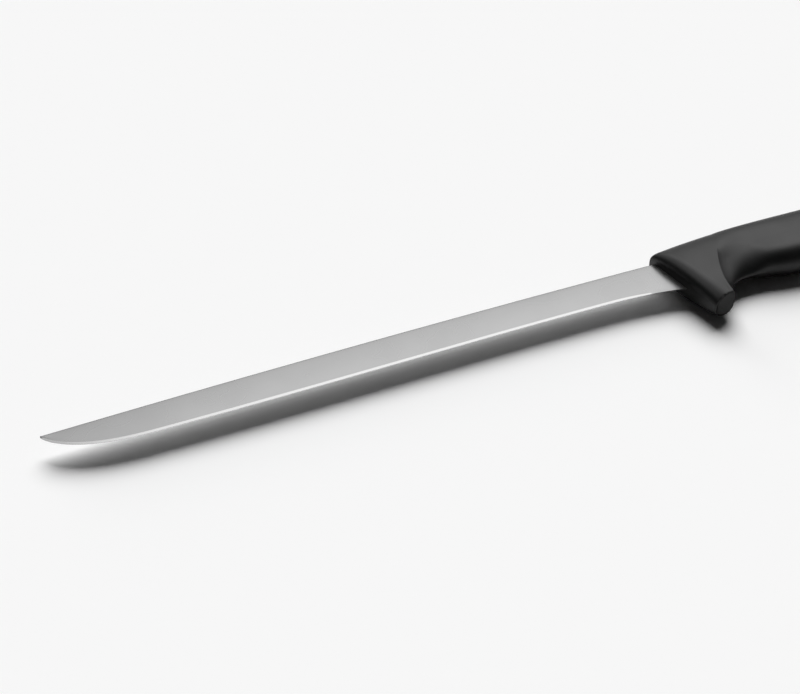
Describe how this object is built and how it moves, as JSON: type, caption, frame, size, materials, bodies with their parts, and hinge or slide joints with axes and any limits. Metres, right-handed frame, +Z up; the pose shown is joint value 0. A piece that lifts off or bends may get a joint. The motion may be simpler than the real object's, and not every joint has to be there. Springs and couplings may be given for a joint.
{
  "type": "ham knife",
  "caption": "Ham slicing knife with a long, narrow, flexible blade, a rounded tip and a black plastic handle with a finger guard.",
  "frame": {"origin": "on the ground under the middle of the whole knife, which lies on its side", "axes": "+X from the blade's tip to the butt of the handle, +Y from the cutting edge to the back, +Z up through the thickness"},
  "size_m": [0.3748, 0.039, 0.0156],
  "materials": {
    "satin_steel": "satin ground along the blade, brighter ground cutting bevel",
    "core_plastic": "moulded black polypropylene",
    "grip_plastic": "moulded black polypropylene with a fine satin grain"
  },
  "bodies": {
    "root": {"blade": "satin_steel", "handle_core": "core_plastic", "handle_grip": "grip_plastic"}
  },
  "joints": []
}
